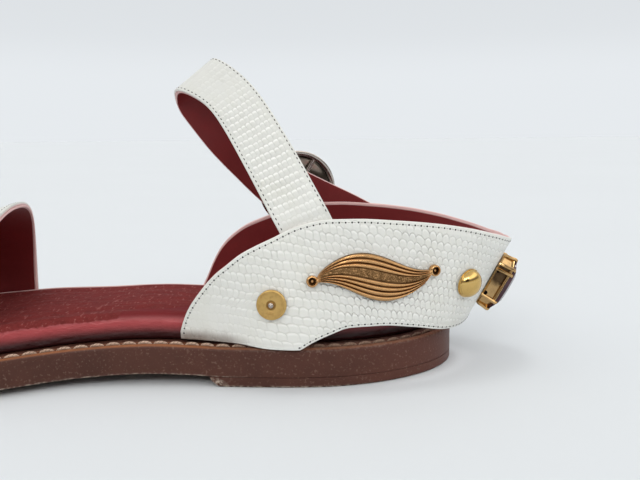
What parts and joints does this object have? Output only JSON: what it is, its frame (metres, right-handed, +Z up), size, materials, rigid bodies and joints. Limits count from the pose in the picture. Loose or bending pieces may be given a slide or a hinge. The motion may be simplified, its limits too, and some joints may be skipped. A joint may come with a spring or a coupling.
{
  "type": "sandal",
  "caption": "Right flat sandal with a welted leather sole, padded insole, flared heel band with a buckled ankle strap, plain toe band and metal ornaments.",
  "frame": {"origin": "on the floor, under the middle of the sandal's box", "axes": "+X towards the heel, +Y towards the outer side of the right foot, +Z up"},
  "size_m": [0.2814, 0.0892, 0.1079],
  "materials": {
    "sole_leather": "waxed and worn dark brown sole leather",
    "heel_leather": "scuffed dark brown heel lift",
    "red_leather": "smooth red leather, worn to a nap in the middle",
    "white_leather": "white leather embossed with small scales, red lining",
    "grey_metal": "polished grey metal",
    "copper_metal": "antiqued copper-gold metal",
    "gold_metal": "polished gold-coloured metal",
    "dark_stone": "dark polished step-cut stone"
  },
  "bodies": {
    "root": {"outsole": "sole_leather", "heel_lift": "heel_leather", "insole": "red_leather", "upper": "white_leather", "toe_band": "white_leather", "buckle": "grey_metal", "leaf_near": "copper_metal", "leaf_far": "copper_metal", "flat_stud_near": "gold_metal", "flat_stud_far": "gold_metal", "dome_stud_near": "gold_metal", "dome_stud_far": "gold_metal", "jewel_setting": "gold_metal", "jewel_stone": "dark_stone"}
  },
  "joints": []
}
